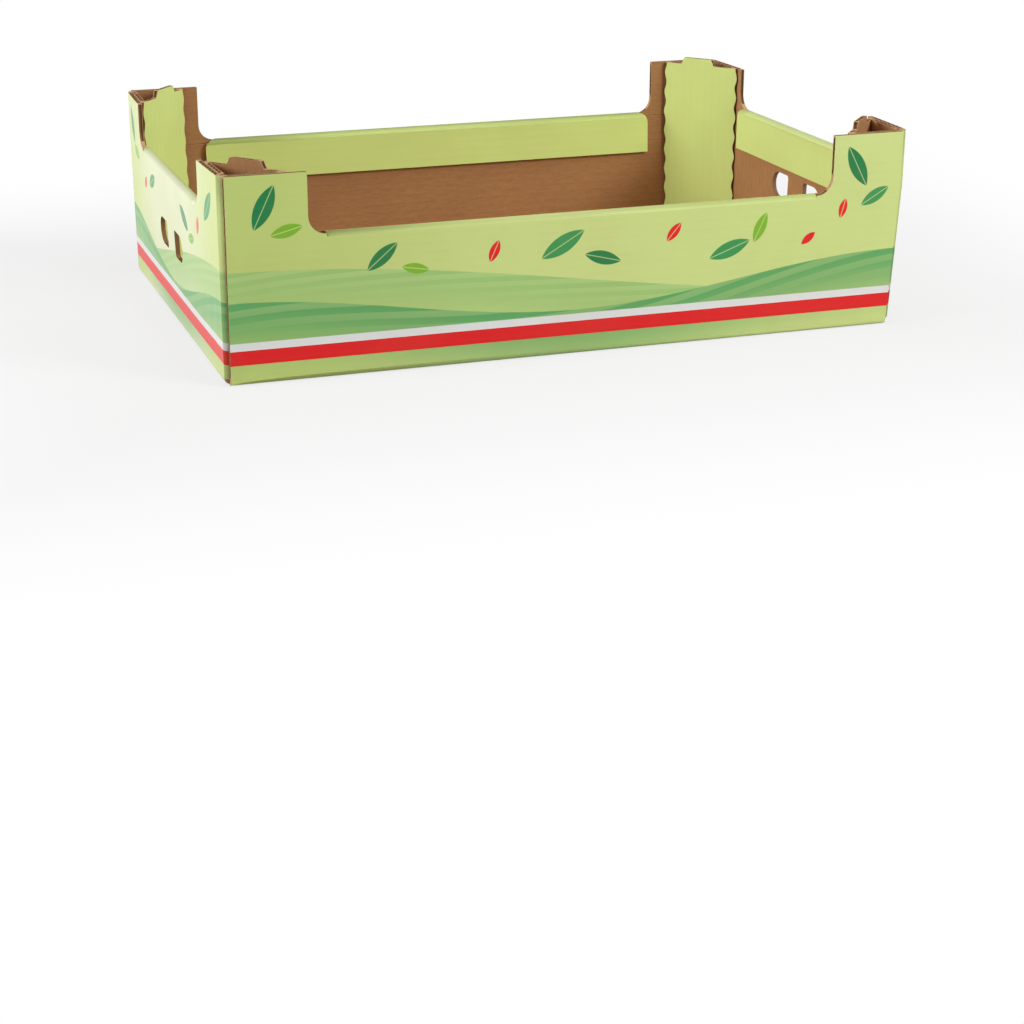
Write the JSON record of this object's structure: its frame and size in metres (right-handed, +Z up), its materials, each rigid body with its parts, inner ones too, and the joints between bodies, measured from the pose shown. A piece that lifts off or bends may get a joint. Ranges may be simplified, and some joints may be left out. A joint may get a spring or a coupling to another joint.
{
  "type": "corrugated board tray",
  "caption": "Open stacking tray of corrugated board with triangular corner posts, lowered walls with rolled hems, hand holes and stacking tabs.",
  "frame": {"origin": "middle of the underside of the base", "axes": "+X along the tray, +Y across it towards the back, +Z up"},
  "size_m": [0.6, 0.4, 0.178],
  "materials": {
    "printed_board": "matt print on a brown liner"
  },
  "bodies": {
    "root": {"tray": "printed_board"}
  },
  "joints": []
}
